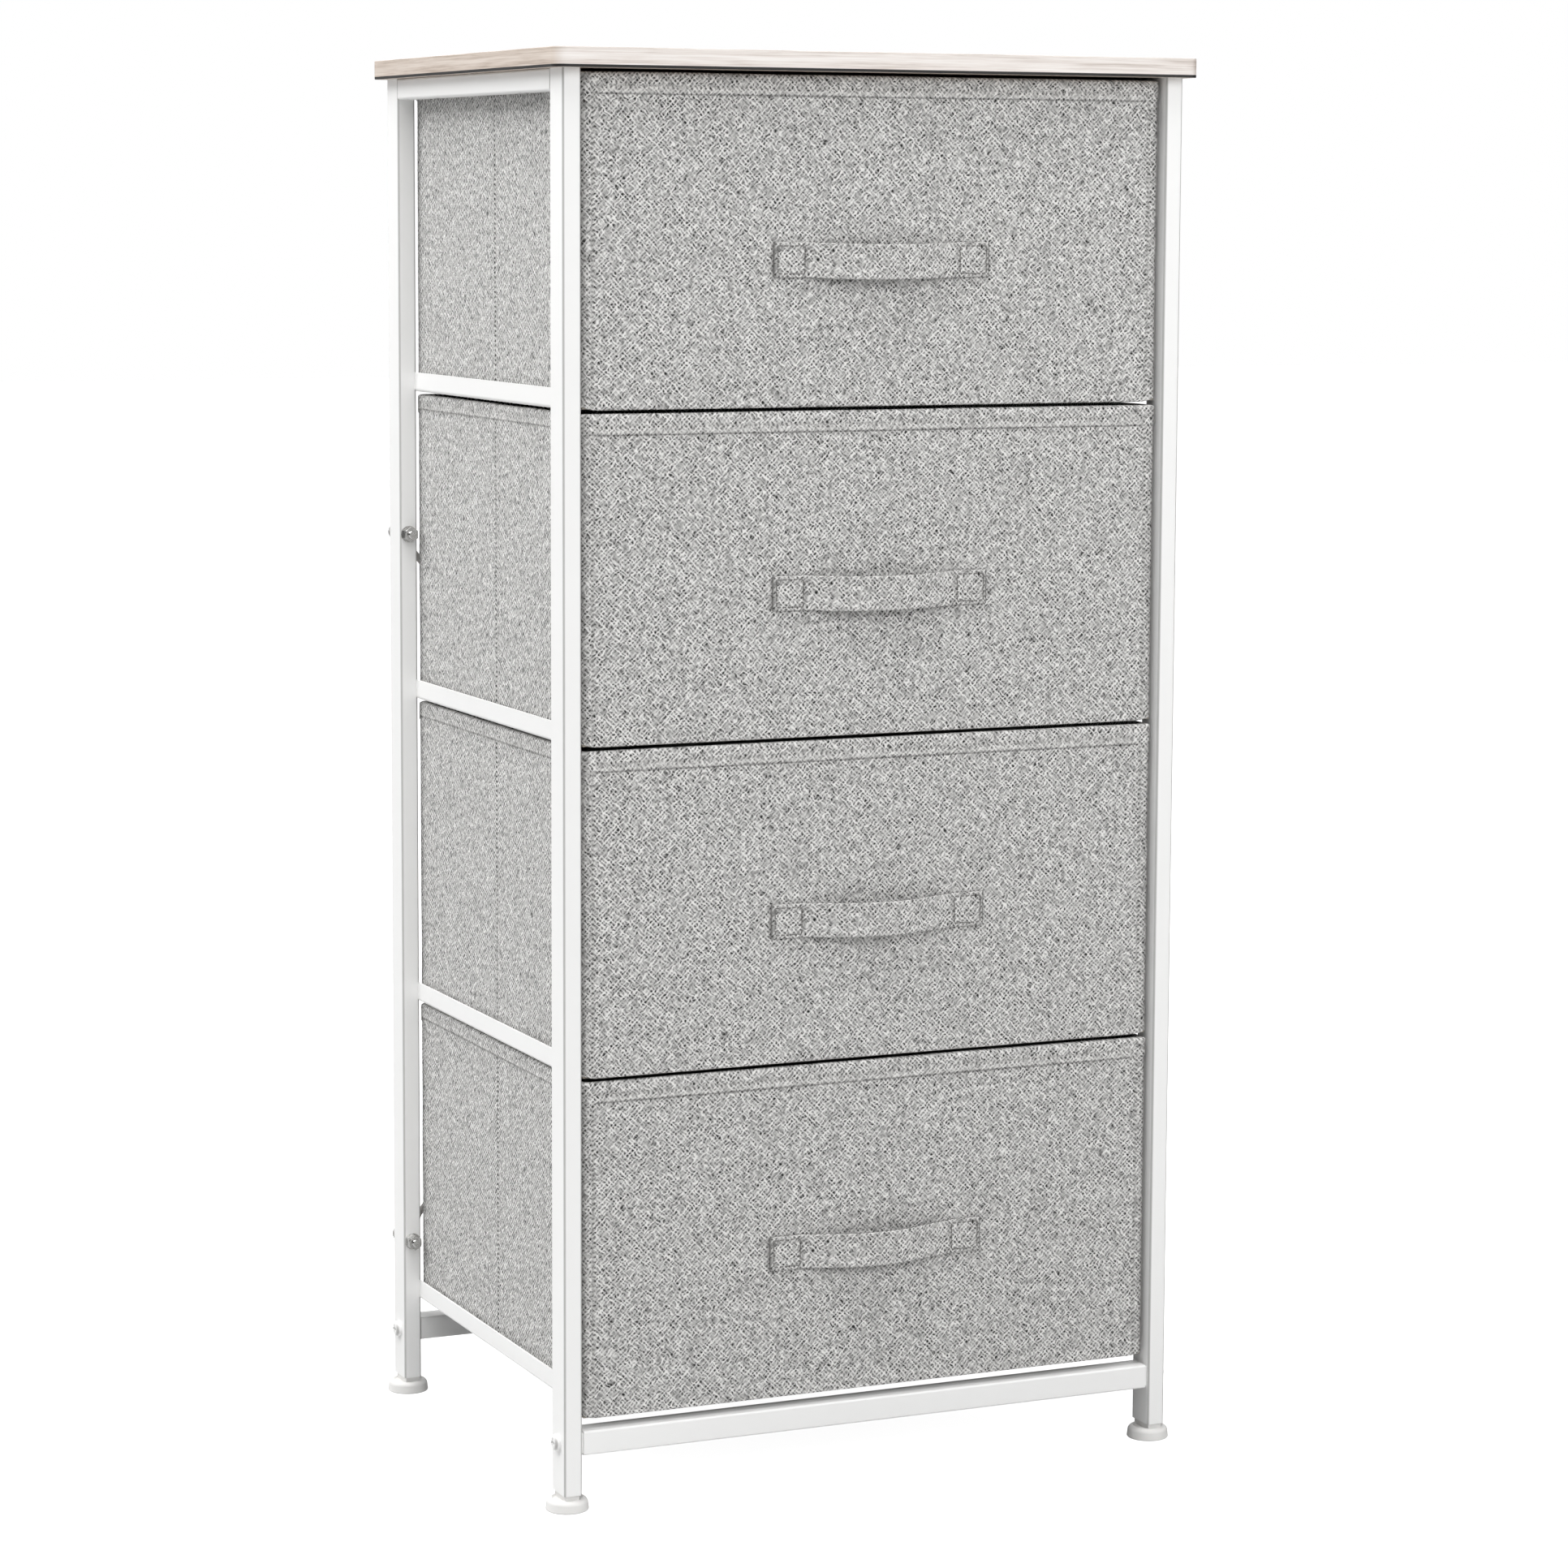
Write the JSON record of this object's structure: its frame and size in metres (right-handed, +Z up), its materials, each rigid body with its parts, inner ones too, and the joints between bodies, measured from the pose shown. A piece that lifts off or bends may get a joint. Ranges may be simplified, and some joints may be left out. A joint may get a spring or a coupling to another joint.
{
  "type": "fabric drawer dresser",
  "caption": "Narrow tower of stacked cloth drawers that slide on ledges in a white steel frame with a thin board on top.",
  "frame": {"origin": "on the floor, under the middle of the top board", "axes": "+Z up, -Y towards the drawers' fronts, so they open along -Y; +X to the right of someone who faces them"},
  "size_m": [0.4, 0.31, 0.822],
  "materials": {
    "powder_coat": "satin white powder coat",
    "brace_steel": "dark grey painted rod",
    "zinc_plate": "bright zinc plating",
    "insert_plastic": "moulded dark nylon",
    "foot_plastic": "moulded off-white polyethylene",
    "board_laminate": "pale wood-grain laminate",
    "edge_band": "pale wood-grain edge band",
    "linen_cloth": "light grey linen-look weave",
    "stiffener_board": "plain fibreboard"
  },
  "bodies": {
    "frame": {"left_front_post": "powder_coat", "left_back_post": "powder_coat", "left_top_rail": "powder_coat", "left_runner_1": "powder_coat", "left_runner_2": "powder_coat", "left_runner_3": "powder_coat", "left_bottom_rail": "powder_coat", "right_front_post": "powder_coat", "right_back_post": "powder_coat", "right_top_rail": "powder_coat", "right_runner_1": "powder_coat", "right_runner_2": "powder_coat", "right_runner_3": "powder_coat", "right_bottom_rail": "powder_coat", "front_cross_rail": "powder_coat", "back_cross_rail": "powder_coat", "cross_rail_inserts": "insert_plastic", "cross_rail_screws": "zinc_plate", "outer_brace_rod": "brace_steel", "inner_brace_rod": "brace_steel", "brace_bolts": "zinc_plate", "brace_nuts": "zinc_plate", "brace_washers": "zinc_plate", "top_panel": "board_laminate", "edge_banding": "edge_band", "top_panel_screws": "zinc_plate", "left_front_foot": "foot_plastic", "left_back_foot": "foot_plastic", "right_front_foot": "foot_plastic", "right_back_foot": "foot_plastic"},
    "drawer_1": {"drawer_1_shell": "linen_cloth", "drawer_1_front_board": "stiffener_board", "drawer_1_back_board": "stiffener_board", "drawer_1_left_boards": "stiffener_board", "drawer_1_right_boards": "stiffener_board", "drawer_1_bottom_board": "stiffener_board", "drawer_1_handle": "linen_cloth"},
    "drawer_2": {"drawer_2_shell": "linen_cloth", "drawer_2_front_board": "stiffener_board", "drawer_2_back_board": "stiffener_board", "drawer_2_left_boards": "stiffener_board", "drawer_2_right_boards": "stiffener_board", "drawer_2_bottom_board": "stiffener_board", "drawer_2_handle": "linen_cloth"},
    "drawer_3": {"drawer_3_shell": "linen_cloth", "drawer_3_front_board": "stiffener_board", "drawer_3_back_board": "stiffener_board", "drawer_3_left_boards": "stiffener_board", "drawer_3_right_boards": "stiffener_board", "drawer_3_bottom_board": "stiffener_board", "drawer_3_handle": "linen_cloth"},
    "drawer_4": {"drawer_4_shell": "linen_cloth", "drawer_4_front_board": "stiffener_board", "drawer_4_back_board": "stiffener_board", "drawer_4_left_boards": "stiffener_board", "drawer_4_right_boards": "stiffener_board", "drawer_4_bottom_board": "stiffener_board", "drawer_4_handle": "linen_cloth"}
  },
  "joints": [
    {"name": "drawer_1_slide", "type": "slide", "parent": "frame", "child": "drawer_1", "axis": [0, -1, 0], "range_m": [0, 0.2]},
    {"name": "drawer_2_slide", "type": "slide", "parent": "frame", "child": "drawer_2", "axis": [0, -1, 0], "range_m": [0, 0.2]},
    {"name": "drawer_3_slide", "type": "slide", "parent": "frame", "child": "drawer_3", "axis": [0, -1, 0], "range_m": [0, 0.2]},
    {"name": "drawer_4_slide", "type": "slide", "parent": "frame", "child": "drawer_4", "axis": [0, -1, 0], "range_m": [0, 0.2]}
  ]
}
